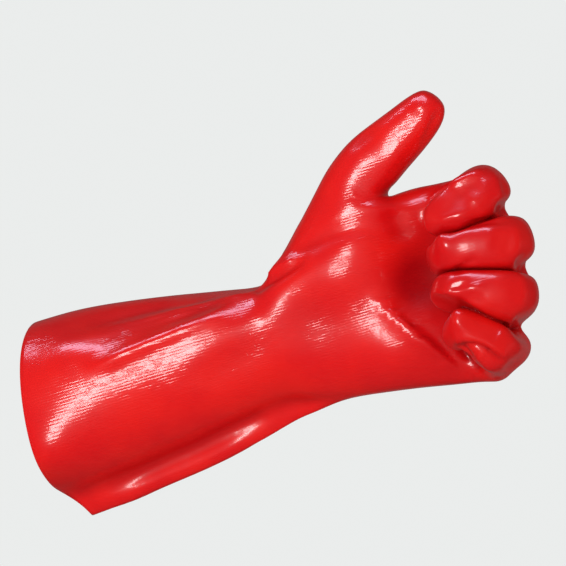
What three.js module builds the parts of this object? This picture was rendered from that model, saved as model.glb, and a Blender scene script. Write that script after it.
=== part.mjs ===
// A chemical-resistant gauntlet glove for the left hand, in the form it has when worn: the sleeve round
// the forearm, the thumb raised and the four fingers closed. It is one dipped piece, so the model is one
// thin shell, hollow from the cuff's opening to every fingertip.
// Millimetres. +X runs from the cuff to the hand, +Y to the back of the hand, +Z to the raised thumb.
// The origin is the middle of the cuff's opening, where the forearm goes in.
import * as THREE from "three";

// Driving sizes
const WALL = 1.5;
const MITRE_LIMIT = 0.6;
const SLEEVE_SIDES = 40;
const FINGER_SIDES = 16;
const THUMB_SIDES = 24;

const rad = THREE.MathUtils.degToRad;
const { lerp } = THREE.MathUtils;

// Cross-sections of the sleeve and the palm, from the cuff to the roots of the fingers.
// ring: which ring of points it is. x, y, z: its middle. lean: how far its upright tips back from +Z.
// turn: how far it has turned with the bent knuckles. half: half its height. back, front: its depth
// towards the back of the hand and towards the palm. power: 2 is an ellipse, more is squarer.
const SECTIONS = [
  { ring: 0, x: -2, y: 0, z: 2, lean: 11, turn: 0, half: 42.7, back: 42, front: 43, power: 2.1 },
  { ring: 2, x: 15, y: 0, z: 7.5, lean: 13.5, turn: 0, half: 42.3, back: 41, front: 42, power: 2.1 },
  { ring: 4, x: 32, y: 0, z: 13.5, lean: 16.5, turn: 0, half: 40.3, back: 40, front: 40.5, power: 2.1 },
  { ring: 7, x: 61.5, y: 0, z: 22, lean: 17.5, turn: 0, half: 36.3, back: 37, front: 37, power: 2.1 },
  { ring: 10, x: 90.5, y: 0, z: 30, lean: 18.5, turn: 0, half: 31.2, back: 33, front: 33, power: 2.1 },
  { ring: 12, x: 107, y: 0.5, z: 34, lean: 19.5, turn: 0, half: 28.7, back: 30, front: 30.5, power: 2.1 },
  { ring: 13, x: 113.5, y: 1, z: 35.5, lean: 21, turn: 0, half: 30, back: 29, front: 30, power: 2.15 },
  { ring: 14, x: 120, y: 1.5, z: 37.5, lean: 21.5, turn: 0, half: 33.2, back: 28, front: 30, power: 2.2 },
  { ring: 16, x: 142.5, y: 3, z: 47.3, lean: 12.5, turn: 0, half: 38.8, back: 24, front: 28, power: 2.4 },
  { ring: 18, x: 169.5, y: 5, z: 58.2, lean: 5.5, turn: 0, half: 45.6, back: 20, front: 24, power: 2.6 },
  { ring: 20, x: 187, y: 6, z: 61.2, lean: 7, turn: 2, half: 46.8, back: 17.5, front: 19, power: 2.8 },
  { ring: 22, x: 199, y: 4, z: 63, lean: 8, turn: 30, half: 47.3, back: 16, front: 16, power: 2.8 },
  { ring: 24, x: 208, y: -4.5, z: 64, lean: 9, turn: 60, half: 48, back: 14, front: 14, power: 2.8 },
  { ring: 25, x: 211, y: -10, z: 64.5, lean: 10, turn: 60, half: 48.5, back: 13, front: 13, power: 2.8 },
];

// How the roots of the fingers show in the sleeve. spread: 0 spaces the points of a section round an
// oval, 1 spaces them by fingers. ahead: how far the middle fingers stand in front of the outer ones.
// groove: the depth of the hollows between the knuckles.
const KNUCKLES = [
  { ring: 0, spread: 0, ahead: 0, groove: 0 },
  { ring: 16, spread: 0, ahead: 0, groove: 0 },
  { ring: 18, spread: 0.3, ahead: 3, groove: 0 },
  { ring: 20, spread: 0.9, ahead: 6, groove: 1 },
  { ring: 22, spread: 1, ahead: 9, groove: 2 },
  { ring: 25, spread: 1, ahead: 11, groove: 3.5 },
];

// The flat fold that hangs below the sleeve, where the glove's two sides lie against each other.
// drop: how far it hangs. sweep: how far its edge is drawn towards the hand.
const LOWER_FOLD = [
  { ring: 0, drop: 13.3, sweep: 9.3 },
  { ring: 2, drop: 13.1, sweep: 6.2 },
  { ring: 4, drop: 13.8, sweep: 3.3 },
  { ring: 7, drop: 13.9, sweep: 1.9 },
  { ring: 10, drop: 13.4, sweep: 1 },
  { ring: 12, drop: 10.5, sweep: 1 },
  { ring: 13, drop: 8, sweep: 0.5 },
  { ring: 14, drop: 5, sweep: 0 },
  { ring: 15, drop: 1.5, sweep: 0 },
  { ring: 16, drop: 0, sweep: 0 },
  { ring: 25, drop: 0, sweep: 0 },
];
// The fold's outline across it, from its edge outwards: rise above the edge as a share of the drop, and
// half the thickness there.
const FOLD_PROFILE = [
  { rise: 0, half: 0 },
  { rise: 0.5, half: 3.6 },
  { rise: 1.02, half: 5 },
];

// Soft dents and swells of the main form. from, to: the rings it runs between. side: the point of the
// section where it is deepest, counted from the top round by the back; drift: how far that place moves
// along its run. reach: its half width in points. deep: its depth, negative where it swells.
const DENTS = [
  { name: "hollow along the sleeve's top", from: 0, to: 12.5, side: 35.5, drift: 3, reach: 2.4, deep: 5 },
  { name: "ridge below that hollow", from: 0, to: 12.5, side: 32.2, drift: 5, reach: 1.4, deep: -1.2 },
  { name: "hollow of the palm", from: 16.2, to: 24, side: 32.5, drift: -2, reach: 4.2, deep: 11 },
  { name: "ball of the thumb", from: 13.4, to: 18.5, side: 34.5, drift: 1, reach: 2.6, deep: -5 },
  { name: "heel of the palm", from: 13.6, to: 20.5, side: 27.5, drift: -2.5, reach: 2.8, deep: -3 },
  { name: "crease under the thumb", from: 11.6, to: 14.2, side: 38.5, drift: 0.5, reach: 2, deep: 2.5 },
];

// The rings between which the thumb grows out of the sleeve's top, and how many points of each it takes
// on either side of the top.
const THUMB_ROOT = { firstRing: 14, lastRing: 18, reach: 4 };

// Cross-sections of the thumb above its root. heading: the way it points, up from +X. half: half its
// width across the heading. deep: half its thickness towards the palm and the back.
const THUMB = [
  { x: 138.4, y: -0.5, z: 89.4, heading: 117, half: 28.8, deep: 19.5, power: 2.2 },
  { x: 139.8, y: -1, z: 93, heading: 112, half: 24.8, deep: 18.8, power: 2.2 },
  { x: 141.8, y: -1.5, z: 97.4, heading: 105.5, half: 21, deep: 18, power: 2.2 },
  { x: 143.9, y: -2, z: 101.7, heading: 98, half: 18.4, deep: 17.2, power: 2.15 },
  { x: 146.4, y: -2.5, z: 106.3, heading: 86.5, half: 16.5, deep: 16.4, power: 2.1 },
  { x: 149.1, y: -3, z: 110.7, heading: 74.5, half: 15.6, deep: 15.6, power: 2.1 },
  { x: 153.6, y: -3.5, z: 115.8, heading: 61, half: 15, deep: 15.2, power: 2.1 },
  { x: 159.1, y: -4, z: 121.9, heading: 59.5, half: 14.6, deep: 14.8, power: 2.1 },
  { x: 167.4, y: -5, z: 128.9, heading: 59.5, half: 13.5, deep: 13.8, power: 2.1 },
  { x: 175.2, y: -6, z: 135.7, heading: 59, half: 11.9, deep: 12.4, power: 2.1 },
  { x: 181.4, y: -6.6, z: 142, heading: 56, half: 10.2, deep: 10.4, power: 2.1 },
  { x: 185.2, y: -7, z: 146.7, heading: 52, half: 7.2, deep: 7.4, power: 2 },
];
const THUMB_START = 150;
const THUMB_TIP_RISE = 2;

// The fingers, from the index down: where the middle line of each would turn at its knuckle and its
// joint, were the turns sharp, and where its rounded tip begins. across, deep: its full width and
// thickness. knuckleRadius, jointRadius: of the two turns.
const FINGERS = [
  {
    name: "index", across: 24, deep: 22, knuckleRadius: 10.5, jointRadius: 8.5,
    knuckle: [216, -34.5, 105], joint: [200, -43, 91.5], tip: [194, -28, 91],
  },
  {
    name: "middle", across: 27, deep: 22.5, knuckleRadius: 11, jointRadius: 9.2,
    knuckle: [228.8, -34.5, 82.2], joint: [202.2, -43, 75.7], tip: [195, -28, 73.5],
  },
  {
    name: "ring", across: 26.5, deep: 22.5, knuckleRadius: 11, jointRadius: 9.2,
    knuckle: [229.2, -34.5, 57.6], joint: [203.2, -43, 59], tip: [196.6, -28, 56.5],
  },
  {
    name: "little", across: 23, deep: 20.5, knuckleRadius: 10, jointRadius: 8.2,
    knuckle: [220.5, -34, 33.2], joint: [207.3, -43.5, 45], tip: [202.5, -29, 39.5],
  },
];
// The surfaces in which neighbouring fingers press against each other. Each starts in the web between
// them; in front of it, it climbs by alongX towards +X and by ahead towards the palm's side.
const PRESSED = [
  { between: "index and middle", alongX: 0.42, ahead: 0.03 },
  { between: "middle and ring", alongX: 0.03, ahead: 0.16 },
  { between: "ring and little", alongX: -0.46, ahead: 0.18 },
];
const PRESS = { softness: 0.7, fadeFrom: 3, fadeLength: 8 };
const FINGER_GAP = 0.6;
const WEB_RISE = 1;

// How a finger's width and thickness change along it, as shares of its own. step: the ring, counted
// from its root by the steps below.
const TAPER = [
  { step: 0, across: 1.02, back: 1.05, front: 1 },
  { step: 3, across: 1, back: 1.03, front: 0.87 },
  { step: 6, across: 1, back: 1.08, front: 0.86 },
  { step: 8, across: 0.96, back: 0.98, front: 0.84 },
  { step: 10, across: 0.9, back: 0.9, front: 0.72 },
  { step: 12.5, across: 0.84, back: 0.88, front: 0.7 },
  { step: 15, across: 0.76, back: 0.74, front: 0.7 },
];
const FINGER_STEPS = { proximal: 3, knuckle: 5, middle: 2, joint: 4, distal: 1 };
const DOME_STEPS = 2;
const FINGER_POWER = 2.3;
const FINGER_START = 45;
const FINGER_TIP_RISE = 0.8;

// A smooth function through one column of a table, against the column that orders its rows.
function columnOf(rows, order, name) {
  const [places, values] = [order, name].map((key) => rows.map((row) => row[key]));
  const curve = new THREE.CubicInterpolant(places, values, 1);
  return (at) => curve.evaluate(at)[0];
}

// Every column of a table at once: a function that gives the row at any place between its rows.
function between(rows, order) {
  const names = Object.keys(rows[0]).filter((name) => name !== order);
  const columns = names.map((name) => [name, columnOf(rows, order, name)]);
  return (at) => Object.fromEntries(columns.map(([name, column]) => [name, column(at)]));
}

function middleOf(points) {
  return points.reduce((sum, point) => sum.add(point), new THREE.Vector3()).divideScalar(points.length);
}

// The outer surface as it grows: points, and four-sided faces that run round the glove.
class Skin {
  points = [];
  quads = [];

  add(point) {
    return this.points.push(point) - 1;
  }

  addRing(points) {
    return points.map((point) => this.add(point));
  }

  at(indices) {
    return indices.map((index) => this.points[index]);
  }

  // One band of faces between two closed rings of as many points.
  joinRings(near, far, keep = () => true) {
    near.forEach((corner, side) => {
      const next = (side + 1) % near.length;
      if (keep(side)) this.quads.push([corner, far[side], far[next], near[next]]);
    });
  }

  // Closes a ring with a square grid of faces, raised in the middle along the heading.
  capRing(ring, heading, rise) {
    const cells = ring.length / 4;
    const corner = (side) => this.points[ring[side]];
    const centre = middleOf(this.at(ring));
    const radius = centre.distanceTo(corner(0));
    const raised = (row, column) => {
      const across = corner(4 * cells - row).clone().lerp(corner(cells + row), column / cells);
      const down = corner(column).clone().lerp(corner(3 * cells - column), row / cells);
      const point = across.lerp(down, 0.5);
      const share = Math.min(1, point.distanceTo(centre) / radius);
      return this.add(point.addScaledVector(heading, rise * (1 - share * share)));
    };
    const grid = [];
    for (let row = 0; row <= cells; row++) {
      grid.push([]);
      for (let column = 0; column <= cells; column++) {
        if (row === 0) grid[row].push(ring[column]);
        else if (row === cells) grid[row].push(ring[3 * cells - column]);
        else if (column === 0) grid[row].push(ring[4 * cells - row]);
        else if (column === cells) grid[row].push(ring[cells + row]);
        else grid[row].push(raised(row, column));
      }
    }
    for (let row = 0; row < cells; row++) {
      const [upper, lower] = [grid[row], grid[row + 1]];
      for (let column = 0; column < cells; column++) {
        this.quads.push([upper[column], lower[column], lower[column + 1], upper[column + 1]]);
      }
    }
  }
}

// A place along a limb: where its middle is, the way it heads, its upright and its back.
class Pose {
  constructor(centre, heading, upright, back) {
    Object.assign(this, { centre, heading, upright, back });
  }

  rotate(axis, degrees) {
    const turn = new THREE.Quaternion().setFromAxisAngle(axis, rad(degrees));
    const turned = [this.heading, this.upright, this.back].map((way) => way.clone().applyQuaternion(turn));
    return new Pose(this.centre, ...turned);
  }

  forward(length) {
    const centre = this.centre.clone().addScaledVector(this.heading, length);
    return new Pose(centre, this.heading, this.upright, this.back);
  }

  point(upright, back) {
    return this.centre.clone().addScaledVector(this.upright, upright).addScaledVector(this.back, back);
  }
}

// How far up a section point number `side` of a half ring stands: 1 at the top, -1 at the bottom. The
// points that stand by fingers put one at each finger's edge.
function heightShare(side, spread) {
  const half = SLEEVE_SIDES / 2;
  const round = Math.cos((Math.PI * side) / half);
  const fromEdge = Math.min(side, half - side);
  let share = 0;
  if (fromEdge <= 2) share = lerp(1, 0.95, (fromEdge * fromEdge) / 4);
  else if (fromEdge <= 6) share = lerp(0.95, 0.5, (fromEdge - 2) / 4);
  else share = lerp(0.5, 0, (fromEdge - 6) / 4);
  return lerp(round, side <= half / 2 ? share : -share, spread);
}

// The depth of a rounded section at a height share, as a share of its full depth.
function depthShare(share, power) {
  return Math.pow(Math.max(0, 1 - Math.pow(Math.abs(share), power)), 1 / power);
}

const bump = (distance, width) => Math.exp(-(distance * distance) / (width * width));

// How deep the dents are at one point of one ring.
function dentDepth(ring, side) {
  return DENTS.reduce((sum, dent) => {
    const along = (ring - dent.from) / (dent.to - dent.from);
    if (along <= 0 || along >= 1) return sum;
    const centre = dent.side + dent.drift * along;
    const around = Math.abs(side - centre);
    const distance = Math.min(around, SLEEVE_SIDES - around);
    return sum + dent.deep * Math.pow(Math.sin(Math.PI * along), 0.8) * bump(distance, dent.reach);
  }, 0);
}

// The pose at a table's place, heading up from +X by so many degrees.
function poseAt({ x, y, z }, heading) {
  const slope = rad(heading);
  const forward = new THREE.Vector3(Math.cos(slope), 0, Math.sin(slope));
  const upright = new THREE.Vector3(-Math.sin(slope), 0, Math.cos(slope));
  return new Pose(new THREE.Vector3(x, y, z), forward, upright, new THREE.Vector3(0, 1, 0));
}

function sleevePose(section) {
  const level = poseAt(section, section.lean);
  return level.rotate(level.upright, -section.turn);
}

const sectionAt = between(SECTIONS, "ring");
const knucklesAt = between(KNUCKLES, "ring");
const foldAt = between(LOWER_FOLD, "ring");

function sleeveRing(ring) {
  const section = sectionAt(ring);
  const { spread, ahead, groove } = knucklesAt(ring);
  const fold = foldAt(ring);
  const pose = sleevePose(section);
  const points = [];
  for (let side = 0; side < SLEEVE_SIDES; side++) {
    const isFront = side > SLEEVE_SIDES / 2;
    const fromTop = isFront ? SLEEVE_SIDES - side : side;
    const share = heightShare(fromTop, spread);
    const hollows = [6, 10, 14].reduce((sum, edge) => sum + bump(fromTop - edge, 1.1), 0) * groove;
    const inward = hollows + dentDepth(ring, side);
    let depth = depthShare(share, section.power) * (isFront ? section.front : section.back);
    let height = share * section.half;
    const radius = Math.hypot(height, depth);
    if (ring >= THUMB_ROOT.lastRing) depth = Math.max(depth * 0.2, depth - inward);
    else [height, depth] = [height * (1 - inward / radius), depth * (1 - inward / radius)];
    const profile = FOLD_PROFILE[SLEEVE_SIDES / 2 - fromTop];
    let sweep = 0;
    if (profile) {
      const weight = Math.min(1, fold.drop / 8);
      height = lerp(height, -section.half - fold.drop * (1 - profile.rise), weight);
      depth = lerp(depth, profile.half, weight);
      sweep = fold.sweep * (1 - Math.min(1, profile.rise) ** 2) * weight;
    }
    const point = pose.point(height, isFront ? -depth : depth).addScaledVector(pose.heading, sweep);
    point.x += ahead * (1 - share * share);
    points.push(point);
  }
  return points;
}

const skin = new Skin();
const lastRing = SECTIONS.at(-1).ring;
const sleeve = [];
for (let ring = 0; ring <= lastRing; ring++) sleeve.push(skin.addRing(sleeveRing(ring)));

// The sleeve's faces, left open where the thumb's root is.
function isThumbRoot(ring, side) {
  const { firstRing, lastRing: rootEnd, reach } = THUMB_ROOT;
  return ring >= firstRing && ring < rootEnd && (side < reach || side >= SLEEVE_SIDES - reach);
}
for (let ring = 0; ring < lastRing; ring++) {
  skin.joinRings(sleeve[ring], sleeve[ring + 1], (side) => !isThumbRoot(ring, side));
}

// A closed ring of a limb: a squared oval, half as wide as `half`, reaching back and front by its own
// depths. startDegrees: where its first point stands, up from the back.
function limbRing(pose, sides, startDegrees, { half, back, front, power }) {
  const squared = (value) => Math.sign(value) * Math.pow(Math.abs(value), 2 / power);
  const points = [];
  for (let side = 0; side < sides; side++) {
    const angle = rad(startDegrees - (360 * side) / sides);
    const depth = squared(Math.cos(angle));
    points.push(pose.point(squared(Math.sin(angle)) * half, depth * (depth > 0 ? back : front)));
  }
  return points;
}

// The thumb: its root is the edge of the opening, read from the wrist's palm side round by the back.
function growThumb() {
  const { firstRing, lastRing: rootEnd, reach } = THUMB_ROOT;
  const at = (ring, side) => sleeve[ring][(side + SLEEVE_SIDES) % SLEEVE_SIDES];
  const root = [];
  for (let side = -reach; side < reach; side++) root.push(at(firstRing, side));
  for (let ring = firstRing; ring < rootEnd; ring++) root.push(at(ring, reach));
  for (let side = reach; side > -reach; side--) root.push(at(rootEnd, side));
  for (let ring = rootEnd; ring > firstRing; ring--) root.push(at(ring, -reach));
  let ring = root;
  let pose;
  for (const { deep, ...section } of THUMB) {
    pose = poseAt(section, section.heading);
    const reach = { ...section, back: deep, front: deep };
    const next = skin.addRing(limbRing(pose, THUMB_SIDES, THUMB_START, reach));
    skin.joinRings(ring, next);
    ring = next;
  }
  skin.capRing(ring, pose.heading, THUMB_TIP_RISE);
}
growThumb();

// The webs between the fingers: three points across each gap at the sleeve's last ring.
const crotch = sleeve[lastRing];
const rootPose = sleevePose(sectionAt(lastRing));
const fingerEdges = [2, 6, 10, 14, 18];
const webs = fingerEdges.slice(1, -1).map((edge) => {
  const back = skin.points[crotch[edge]];
  const front = skin.points[crotch[SLEEVE_SIDES - edge]];
  return [0.25, 0.5, 0.75].map((share) => {
    const rise = WEB_RISE * 4 * share * (1 - share);
    return skin.add(back.clone().lerp(front, share).addScaledVector(rootPose.heading, rise));
  });
});

// The ring of points from which a finger grows: its back, its lower side, its front and its upper side.
function fingerRoot(number) {
  const [top, bottom] = [fingerEdges[number], fingerEdges[number + 1]];
  const backs = crotch.slice(top, bottom + 1);
  const fronts = crotch.slice(SLEEVE_SIDES - bottom, SLEEVE_SIDES - top + 1);
  const lower = number === 3 ? crotch.slice(19, 22) : webs[number];
  const upper = number === 0 ? [crotch[39], crotch[0], crotch[1]] : [...webs[number - 1]].reverse();
  return [...backs, ...lower, ...fronts, ...upper];
}

// The rounded corner of a finger's middle line between two straight runs.
function cornerOf(before, corner, after, radius) {
  const incoming = corner.clone().sub(before).normalize();
  const outgoing = after.clone().sub(corner).normalize();
  const bend = incoming.angleTo(outgoing);
  const tangent = radius * Math.tan(bend / 2);
  const axis = new THREE.Vector3().crossVectors(incoming, outgoing).normalize();
  const start = corner.clone().addScaledVector(incoming, -tangent);
  const end = corner.clone().addScaledVector(outgoing, tangent);
  return { incoming, outgoing, start, end, axis, bend, radius, upright: axis.clone().negate() };
}

// The middle line of a finger as it is laid out, run by run: the poses passed so far.
class FingerLine {
  poses = [];

  constructor(start) {
    this.last = start;
  }

  place(centre, heading, upright) {
    const back = new THREE.Vector3().crossVectors(upright, heading).normalize();
    this.poses.push(new Pose(centre, heading, new THREE.Vector3().crossVectors(heading, back), back));
  }

  // A straight run to a place, turning evenly to a heading and an upright on the way.
  runTo(end, heading, upright, steps) {
    const from = this.last;
    for (let step = 1; step <= steps; step++) {
      const share = step / steps;
      const towards = from.heading.clone().lerp(heading, share).normalize();
      const level = from.upright.clone().lerp(upright, share).normalize();
      this.place(from.centre.clone().lerp(end, share), towards, level);
    }
    this.last = new Pose(end, heading, upright);
  }

  // A turn round a corner, towards the palm.
  turnRound(corner, steps) {
    const outward = new THREE.Vector3().crossVectors(corner.incoming, corner.axis);
    const middle = corner.start.clone().addScaledVector(outward, -corner.radius);
    for (let step = 1; step <= steps; step++) {
      const turn = new THREE.Quaternion().setFromAxisAngle(corner.axis, (corner.bend * step) / steps);
      const centre = middle.clone().addScaledVector(outward.clone().applyQuaternion(turn), corner.radius);
      this.place(centre, corner.incoming.clone().applyQuaternion(turn), corner.upright);
    }
    this.last = new Pose(corner.end, corner.outgoing, corner.upright);
  }
}

// The poses along a finger, from just past its root to where its rounded tip begins.
function fingerPoses(finger, start) {
  const [knuckleAt, jointAt, tip] = [finger.knuckle, finger.joint, finger.tip].map(
    (place) => new THREE.Vector3(...place),
  );
  const knuckle = cornerOf(start.centre, knuckleAt, jointAt, finger.knuckleRadius);
  const joint = cornerOf(knuckleAt, jointAt, tip, finger.jointRadius);
  const line = new FingerLine(start);
  line.runTo(knuckle.start, knuckle.incoming, knuckle.upright, FINGER_STEPS.proximal);
  line.turnRound(knuckle, FINGER_STEPS.knuckle);
  line.runTo(joint.start, joint.incoming, joint.upright, FINGER_STEPS.middle);
  line.turnRound(joint, FINGER_STEPS.joint);
  line.runTo(tip, joint.outgoing, joint.upright, FINGER_STEPS.distal);
  return line.poses;
}

const taperAt = between(TAPER, "step");

// The rings of a finger's outer skin, from just past its root to the end of its rounded tip.
function fingerRings(finger, number) {
  const middle = middleOf(skin.at(fingerRoot(number)));
  const start = new Pose(middle, rootPose.heading, rootPose.upright);
  const reachAt = (step, scale) => {
    const { across, back, front } = taperAt(step);
    const [half, deep] = [(finger.across * scale) / 2, (finger.deep * scale) / 2];
    return { half: across * half, back: back * deep, front: front * deep, power: FINGER_POWER };
  };
  const ringOf = (pose, step, scale) => {
    return { pose, points: limbRing(pose, FINGER_SIDES, FINGER_START, reachAt(step, scale)) };
  };
  const poses = fingerPoses(finger, start);
  const rings = poses.map((pose, step) => ringOf(pose, step + 1, 1));
  const domeHeight = reachAt(poses.length, 1).back;
  for (let step = 1; step <= DOME_STEPS; step++) {
    const angle = (Math.PI / 2) * (step / (DOME_STEPS + 0.6));
    rings.push(ringOf(poses.at(-1).forward(Math.sin(angle) * domeHeight), poses.length, Math.cos(angle)));
  }
  return rings;
}

// Presses the points of one finger's rings above (side 1) or below (side -1) the surface at a web, so
// that the finger flattens where it meets its neighbour. The surface takes its own slope a little in
// front of the web, over the fade's length.
function press(rings, [back, web, front], slope, side) {
  const { softness, fadeFrom, fadeLength } = PRESS;
  const alongWeb = (back.z - front.z) / (back.x - front.x);
  for (const point of rings.flatMap((ring) => ring.points)) {
    const ahead = Math.max(0, front.y - point.y - fadeFrom);
    const fade = (ahead * ahead) / (ahead * ahead + fadeLength * fadeLength);
    const alongX = lerp(alongWeb, slope.alongX, fade);
    const surface = web.z + alongX * (point.x - web.x) + fade * slope.ahead * ahead;
    const distance = side * (point.z - surface) - FINGER_GAP / 2;
    point.z = surface + side * (FINGER_GAP / 2 + (distance + Math.hypot(distance, softness)) / 2);
  }
}

const fingers = FINGERS.map(fingerRings);
PRESSED.forEach((slope, number) => {
  const web = webs[number].map((index) => skin.points[index]);
  press(fingers[number], web, slope, 1);
  press(fingers[number + 1], web, slope, -1);
});
fingers.forEach((rings, number) => {
  let ring = fingerRoot(number);
  for (const { points } of rings) {
    const next = skin.addRing(points);
    skin.joinRings(ring, next);
    ring = next;
  }
  skin.capRing(ring, rings.at(-1).pose.heading, FINGER_TIP_RISE);
});

// Where each outer point lies on the inner side of the wall. At a sharp edge it stands further in, so
// that the wall keeps its thickness on both sides of the edge.
function innerPoints(outer, wall) {
  const faceNormals = outer.quads.map((quad) => {
    const [a, b, c, d] = outer.at(quad);
    return new THREE.Vector3().crossVectors(c.clone().sub(a), d.clone().sub(b)).normalize();
  });
  const normals = outer.points.map(() => new THREE.Vector3());
  outer.quads.forEach((quad, face) => quad.forEach((index) => normals[index].add(faceNormals[face])));
  normals.forEach((normal) => normal.normalize());
  const flatness = outer.points.map(() => 1);
  outer.quads.forEach((quad, face) => {
    for (const index of quad) {
      flatness[index] = Math.min(flatness[index], faceNormals[face].dot(normals[index]));
    }
  });
  return outer.points.map((point, index) => {
    const depth = wall / Math.max(MITRE_LIMIT, flatness[index]);
    return point.clone().addScaledVector(normals[index], -depth);
  });
}

// The shell: the outer skin, an inner one a wall's thickness inside it, and the cuff's edge between them.
function shellOf(outer, cuff, wall) {
  const points = [...outer.points, ...innerPoints(outer, wall)];
  const count = outer.points.length;
  const inside = (indices) => indices.map((index) => index + count);
  const edge = cuff.map((corner, side) => {
    const next = cuff[(side + 1) % cuff.length];
    return [corner, next, ...inside([next, corner])];
  });
  const quads = [...outer.quads, ...outer.quads.map((quad) => inside(quad).reverse()), ...edge];
  const faces = quads.flatMap(([a, b, c, d]) => {
    const shortFirst = points[a].distanceTo(points[c]) <= points[b].distanceTo(points[d]);
    return shortFirst ? [a, b, c, a, c, d] : [a, b, d, b, c, d];
  });
  const positions = points.flatMap((point) => point.toArray());
  return new THREE.BufferGeometry()
    .setAttribute("position", new THREE.Float32BufferAttribute(positions, 3))
    .setIndex(faces);
}

const coating = new THREE.MeshStandardMaterial({ color: 0xd8201c, roughness: 0.25, metalness: 0 });
const geometry = shellOf(skin, sleeve[0], WALL);
geometry.computeVertexNormals();
const shell = new THREE.Mesh(geometry, coating);
shell.name = "glove_shell";

const glove = new THREE.Group();
glove.add(shell);
export default glove;
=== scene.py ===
"""The looks of a coated gauntlet glove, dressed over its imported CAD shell.

Metres, in the part's frame: +X runs from the cuff to the hand, +Y to the back of the hand and +Z to the
raised thumb. The glove is one piece, so one mesh replaces the shell: its smoothed form, with the folds of
the worn glove pressed into it, a glossy coating outside and bare knit inside.
"""

import logging
import math
from dataclasses import dataclass, field
from enum import Enum
from typing import ClassVar

import bmesh
import bpy
import numpy as np
from mathutils import Matrix, Vector
from mathutils.kdtree import KDTree

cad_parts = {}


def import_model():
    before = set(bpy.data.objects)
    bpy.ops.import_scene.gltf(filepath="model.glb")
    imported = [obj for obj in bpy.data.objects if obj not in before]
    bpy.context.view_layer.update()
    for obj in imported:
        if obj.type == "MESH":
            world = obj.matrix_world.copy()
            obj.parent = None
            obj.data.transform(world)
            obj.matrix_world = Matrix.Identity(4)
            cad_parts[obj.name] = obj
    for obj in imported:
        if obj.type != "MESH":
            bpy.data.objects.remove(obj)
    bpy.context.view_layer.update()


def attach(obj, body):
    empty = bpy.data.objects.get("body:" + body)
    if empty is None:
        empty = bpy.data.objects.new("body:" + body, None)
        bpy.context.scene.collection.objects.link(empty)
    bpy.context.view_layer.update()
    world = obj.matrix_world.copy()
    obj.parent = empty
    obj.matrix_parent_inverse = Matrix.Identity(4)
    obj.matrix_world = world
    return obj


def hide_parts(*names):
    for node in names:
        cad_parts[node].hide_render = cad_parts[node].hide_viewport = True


LOG = logging.getLogger("glove")
MM = 0.001
SHELL_NODE = "glove_shell"


class Graph:
    """A material's or world's node tree, with one method that adds any node."""

    def __init__(self, owner: bpy.types.ID) -> None:
        """Empties the owner's node tree.

        Args:
            owner: the material or world whose nodes are built.
        """
        owner.use_nodes = True
        self.tree = owner.node_tree
        self.tree.nodes.clear()

    def node(self, kind: str, settings: dict | None = None, **inputs: object) -> bpy.types.Node:
        """Adds a node.

        Args:
            kind: the node's type name.
            settings: its properties, set before its sockets.
            inputs: values or links by socket name, with spaces written as underscores; a name such as
                at0 stands for the socket of that number.

        Returns:
            The new node.
        """
        node = self.tree.nodes.new(kind)
        for name, value in (settings or {}).items():
            setattr(node, name, value)
        for name, value in inputs.items():
            key = int(name[2:]) if name.startswith("at") else name.replace("_", " ")
            self.feed(node.inputs[key], value)
        return node

    def feed(self, socket: bpy.types.NodeSocket, value: object) -> None:
        """Links or sets one socket.

        Args:
            socket: the input socket.
            value: a Value or another node's socket to link, or a plain value to set.
        """
        if isinstance(value, Value):
            value = value.socket
        if isinstance(value, bpy.types.NodeSocket):
            self.tree.links.new(value, socket)
        else:
            socket.default_value = value

    def math(self, operation: str, *terms: object) -> "Value":
        """Adds a Math node.

        Args:
            operation: the node's operation.
            terms: its inputs, in order.

        Returns:
            The result.
        """
        inputs = {f"at{place}": term for place, term in enumerate(terms)}
        node = self.node("ShaderNodeMath", {"operation": operation}, **inputs)
        return Value(self, node.outputs[0])

    def noise(self, vector: object, scale: float, detail: float = 3.0, roughness: float = 0.5) -> "Value":
        """Adds a noise texture.

        Args:
            vector: the coordinates that it reads.
            scale: cells for each unit of those coordinates.
            detail: octaves.
            roughness: how strong the finer octaves are.

        Returns:
            The noise, about 0 to 1.
        """
        inputs = {"Vector": vector, "Scale": scale, "Detail": detail, "Roughness": roughness}
        return Value(self, self.node("ShaderNodeTexNoise", **inputs).outputs[0])

    def stored(self, name: str) -> "Value":
        """Returns the value that the mesh stores for each point under a name."""
        return Value(self, self.node("ShaderNodeAttribute", {"attribute_name": name}).outputs["Fac"])

    def stretched(self, vector: object, scale: tuple[float, float, float]) -> bpy.types.NodeSocket:
        """Returns coordinates scaled along each axis."""
        return self.node("ShaderNodeMapping", Vector=vector, Scale=scale).outputs[0]

    def blend(self, share: object, low: object, high: object) -> bpy.types.NodeSocket:
        """Returns a colour between two, by a share."""
        node = self.node("ShaderNodeMix", {"data_type": "RGBA"}, at0=share, at6=low, at7=high)
        return node.outputs[2]

    def step(self, value: object, low: float, high: float) -> "Value":
        """Adds a smooth step.

        Args:
            value: what it follows.
            low: the value up to which the step is 0.
            high: the value from which it is 1.

        Returns:
            The step, 0 to 1.
        """
        inputs = {"at0": value, "at1": low, "at2": high}
        node = self.node("ShaderNodeMapRange", {"interpolation_type": "SMOOTHSTEP"}, **inputs)
        return Value(self, node.outputs[0])


@dataclass(frozen=True)
class Value:
    """A number that changes over a surface: a socket that takes part in arithmetic."""

    graph: Graph
    socket: bpy.types.NodeSocket

    def __add__(self, other: object) -> "Value":
        """Returns self + other."""
        return self.graph.math("ADD", self, other)

    def __rsub__(self, other: object) -> "Value":
        """Returns other - self."""
        return self.graph.math("SUBTRACT", other, self)

    def __mul__(self, other: object) -> "Value":
        """Returns self * other."""
        return self.graph.math("MULTIPLY", self, other)


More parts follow.
